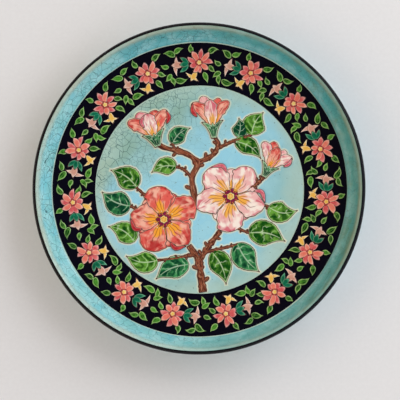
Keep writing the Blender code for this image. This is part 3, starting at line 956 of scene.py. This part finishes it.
def make_blossom(enamels, middle, radius, turn, kind, folds):
    """Five petals over five smaller ones that show between them, and a dark heart with stamens."""
    middle = picture_point(middle)
    radius = radius * DISC_RADIUS
    chance = enamels.chance
    for i in range(5):
        way = direction(turn + 72 * i + 36 + chance.uniform(-5, 5)) * radius
        make_petal(enamels, middle + way * 0.2, middle + way * 0.8, radius * 0.42, kind, 0.6)
    for i, fold in enumerate(folds):
        way = turn + 72 * i
        tip = middle + direction(way + chance.uniform(-3, 3)) * radius * chance.uniform(0.97, 1.05)
        width = radius * chance.uniform(0.66, 0.76) * 1.06
        base = middle + direction(way) * radius * 0.1
        shape = pointed_petal_shape if i % 2 else petal_shape
        bow = chance.uniform(-0.08, 0.08)
        make_petal(enamels, base, tip, width, kind, 1.5 + 0.8 * (i % 2), bow, shape, fold)
    enamels.disc(middle, radius * 0.2, "maroon", 3.6, uneven=0.16)
    for i in range(11):
        way = direction(360 * i / 11 + chance.uniform(-8, 8))
        tip = middle + way * radius * chance.uniform(0.24, 0.31)
        points = (middle + way * radius * 0.06, middle + (tip - middle) * 0.6, tip)
        strand(enamels, points, 0.5, 0.7, "stamen", 10, layer=4.3, outline=False, relief=0.25)
        enamels.disc(tip, 0.75, "yolk", 4.4, relief=0.3, outline=False)
    enamels.disc(middle, radius * 0.105, "yolk", 4.4, uneven=0.1, waves=6)
    for i in range(6):
        spot = middle + direction(60 * i + turn) * radius * 0.055
        enamels.disc(spot, radius * 0.02, "stamen", 5.2, relief=0.25, outline=False)


def make_bud(enamels, base, tip, width, kind, pale, folds):
    """Petals side by side, the pale one in the middle, above a cup of pointed sepals."""
    foot = picture_point(base)
    run = picture_point(tip) - foot
    size = width * DISC_RADIUS
    side = turned_left(unit(run)) * size

    def at(along, across):
        return foot + run * along + side * across

    make_petal(enamels, at(0.24, 0.02), at(1.00, 0.24), size * 0.4, pale, 0.6, bow=-0.06)
    make_petal(enamels, at(0.24, -0.02), at(0.92, -0.26), size * 0.34, kind, 0.8, bow=0.06)
    make_petal(enamels, at(0.22, 0.08), at(0.88, 0.53), size * 0.36, kind, 1.6, bow=-0.12, fold=folds[0])
    make_petal(enamels, at(0.22, -0.08), at(0.84, -0.52), size * 0.34, kind, 1.6, bow=0.12, fold=folds[1])
    make_petal(enamels, at(0.18, 0), at(0.9, 0.02), size * 0.4, pale, 2.4, fold=folds[2])
    for across, reach, bend in ((0.27, 0.4, -0.16), (-0.27, 0.4, 0.16), (0, 0.35, 0)):
        blade(
            enamels, at(-0.02, across * 0.2), at(reach, across), size * 0.17, lance_shape, "sepal",
            bow=bend, rows=18, layer=3.2, tone=0.5, halo=True,
        )


def make_branch(enamels, points, start, end):
    """A strip of bark with knots, and a short spur here and there."""
    chance = enamels.chance
    path = smooth_path([picture_point(p) for p in points], 46)
    share = np.linspace(0, 1, 46)
    half = np.interp(share, (0, 1), (start, end)) * DISC_RADIUS / 2
    half *= 1 + 0.1 * np.sin(share * 23 + chance.uniform(0, 6)) + 0.07 * np.sin(share * 41)
    for spot in chance.uniform(0.1, 0.9, 3):
        half *= 1 + 0.38 * np.exp(-(((share - spot) / 0.025) ** 2))
    enamels.cell(path, half, "bark", layer=1, tone=chance.random(), halo=True)
    sides = side_of(path)
    for spot in (9, 21, 35):
        side = sides[spot] * (1 if chance.random() < 0.5 else -1) * half[spot]
        foot = path[spot] + side * 0.5
        top = foot + side * 1.9 + unit(path[spot + 1] - path[spot]) * half[spot] * 1.2
        blade(enamels, foot, top, half[spot] * 1.1, bud_shape, "bark", rows=9, layer=1.4, halo=True)


def make_picture(paints):
    enamels = Enamels(paints, PICTURE_SEED)
    plans = ((make_branch, BRANCHES), (make_leaf, LEAVES), (make_blossom, BLOSSOMS), (make_bud, BUDS))
    for maker, rows in plans:
        for row in rows:
            maker(enamels, *row)
    enamels.make("picture_enamels")


# The band's enamels


def on_band(sprig, along, across):
    """A point of the band: which sprig, its share of the repeat and its share of the band's width."""
    return (MIDDLE_RADIUS + across * BAND_WIDTH) * direction(SPRIG_TURN + 360 * (sprig + along) / REPEATS)


def band_way(point, angle):
    """The unit vector at a point of the band that lies at this angle to the band's run."""
    out = unit(point)
    along, across = direction(angle)
    return turned_left(out) * along + out * across


def lobes(enamels, sprig, foot, tips, width, kind, layer, curl):
    """Three pointed lobes from one foot, the last one on top. The first two bend outwards by curl, a share of
    their length."""
    foot = on_band(sprig, *foot)
    for i, (tip, share, bow) in enumerate(zip(tips, (0.86, 0.86, 1.06), (-curl, curl, 0))):
        blade(
            enamels, foot, on_band(sprig, *tip), width * BAND_WIDTH * share, lance_shape, kind, bow=bow,
            rows=15, across=SMALL, layer=layer + 0.35 * i, tone=enamels.chance.random(), outline=i > 0,
        )


def make_sprig(enamels, sprig):
    """Leaves, a bell, a tulip in its cap and a daisy in two layers."""
    chance = enamels.chance
    size = BAND_WIDTH
    for along, across, turn, length, width in SPRIG_LEAVES:
        at = on_band(sprig, along, across)
        way = unit(band_way(at, turn) + chance.uniform(-0.1, 0.1, 2))
        reach = way * size * length * chance.uniform(0.57, 0.63)
        blade(
            enamels, at - reach, at + reach, size * width * 1.12, leaf_shape, "band_leaf",
            bow=chance.uniform(-0.16, 0.16), rows=15, across=SMALL, tone=chance.random(), groove=0.3,
            outline=False,
        )
    lobes(enamels, sprig, *BELL, "band_yellow", 0, -0.34)
    lobes(enamels, sprig, *TULIP, "band_tulip", 0, 0.36)
    lobes(enamels, sprig, *CAP, "band_cap", 1, -0.05)
    middle = on_band(sprig, 0, 0.03)
    for i in (0, 2, 4, 6, 8, 1, 3, 5, 7):
        angle = 20 + 40 * i + chance.uniform(-6, 6)
        reach = size * (0.284 - 0.03 * math.cos(math.radians(angle + 50))) * chance.uniform(0.88, 1.12)
        way = band_way(middle, angle)
        blade(
            enamels, middle + way * size * 0.045, middle + way * reach, size * chance.uniform(0.104, 0.146),
            daisy_shape, ("band_rose", "band_coral")[i % 2], bow=chance.uniform(-0.14, 0.14), rows=15,
            across=SMALL, layer=1.2 + 0.6 * (i % 2), tone=chance.random(),
        )
    enamels.disc(middle, size * 0.078, "band_ring", 2.4, uneven=0.1, waves=5)
    enamels.disc(middle, size * 0.049, "yolk", 3.1, uneven=0.12, waves=5, outline=False)


def make_border(paints):
    enamels = Enamels(paints, BORDER_SEED)
    for sprig in range(REPEATS):
        make_sprig(enamels, sprig)
    enamels.make("border_enamels")


# Camera, floor and light


def add_camera():
    data = bpy.data.cameras.new("camera")
    camera = add_object("camera", data)
    target = Vector((0, 0, PLATE_HEIGHT * MM))
    away = Vector((*CAMERA_LEAN, math.sqrt(1 - CAMERA_LEAN[0] ** 2 - CAMERA_LEAN[1] ** 2)))
    across = Vector((0, 1, 0)).cross(away).normalized()
    turn = Matrix((across, away.cross(across), away)).transposed().to_4x4()
    camera.matrix_world = Matrix.Translation(target + away * CAMERA_DISTANCE) @ turn
    data.sensor_width = 36
    half_view = PLATE_RADIUS * MM * PHOTO_SIDE / 2 / PLATE_RADIUS_PIXELS
    data.lens = data.sensor_width / 2 * CAMERA_DISTANCE / half_view
    data.shift_x = (PHOTO_SIDE / 2 - PLATE_CENTRE_PIXEL[0]) / PHOTO_SIDE
    data.shift_y = (PLATE_CENTRE_PIXEL[1] - PHOTO_SIDE / 2) / PHOTO_SIDE
    data.clip_end = 50
    bpy.context.scene.camera = camera


def add_floor():
    mesh = bpy.data.meshes.new("floor")
    corners = [(x * FLOOR_REACH, y * FLOOR_REACH, 0) for x, y in ((-1, -1), (1, -1), (1, 1), (-1, 1))]
    mesh.from_pydata(corners, [], [(0, 1, 2, 3)])
    paint = Paint("floor_paint", roughness=0.9, coat=0, gloss=0.5)
    colour = paint.mix(paint.noise(4, 3), (0.74, 0.735, 0.73), (0.8, 0.795, 0.79))
    mesh.materials.append(paint.finish(colour, paint.noise(3, 3), 0.15, 0.3))
    floor = add_object("floor", mesh)
    floor.location.z = -FLOOR_DROP


def add_lamp(name, place, size, power, colour):
    data = bpy.data.lights.new(name, "AREA")
    data.shape = "DISK"
    data.size = size
    data.energy = power
    data.color = colour
    lamp = add_object(name, data)
    lamp.location = place
    lamp.rotation_euler = (-Vector(place)).to_track_quat("-Z", "Y").to_euler()
    return lamp


def add_light():
    """A pale sky, warm on the left and dim overhead, a window on the right and a lamp that only glints."""
    world = bpy.data.worlds.new("studio")
    world.use_nodes = True
    sky = Nodes(world.node_tree)
    x, _, z = sky.axes("Generated")
    colour = sky.mix(x.step(-0.7, 0.7, kind="LINEAR"), (1.00, 0.82, 0.66), (0.77, 0.87, 1.00))
    colour = colour.mix(z.step(0.7, 0.9, kind="LINEAR"), (0.09, 0.09, 0.1))
    sky.fill(sky.tree.nodes["Background"], {"Color": colour, "Strength": 1.3})
    bpy.context.scene.world = world
    window = add_lamp("window", (2.3, 1.5, 1.5), 3.2, 56, (0.97, 0.99, 1))
    window.visible_glossy = False
    glint = add_lamp("glint", (1.3, 1.05, 2.2), 0.7, 7, (1, 1, 1))
    glint.visible_diffuse = False
    bpy.context.scene.view_settings.view_transform = "Standard"


def main():
    materials = {
        "glaze": turquoise_glaze(),
        "cream": cream_line(),
        "navy": navy_glaze(),
        "lip": lip_line(),
        "back": back_glaze(),
        "clay": bare_clay(),
    }
    paints = enamel_paints()
    paints["glaze"] = materials["glaze"]
    make_face(materials)
    make_back(materials)
    make_foot_ring(materials)
    make_picture(paints)
    make_border(paints)
    add_floor()
    add_light()
    add_camera()


main()
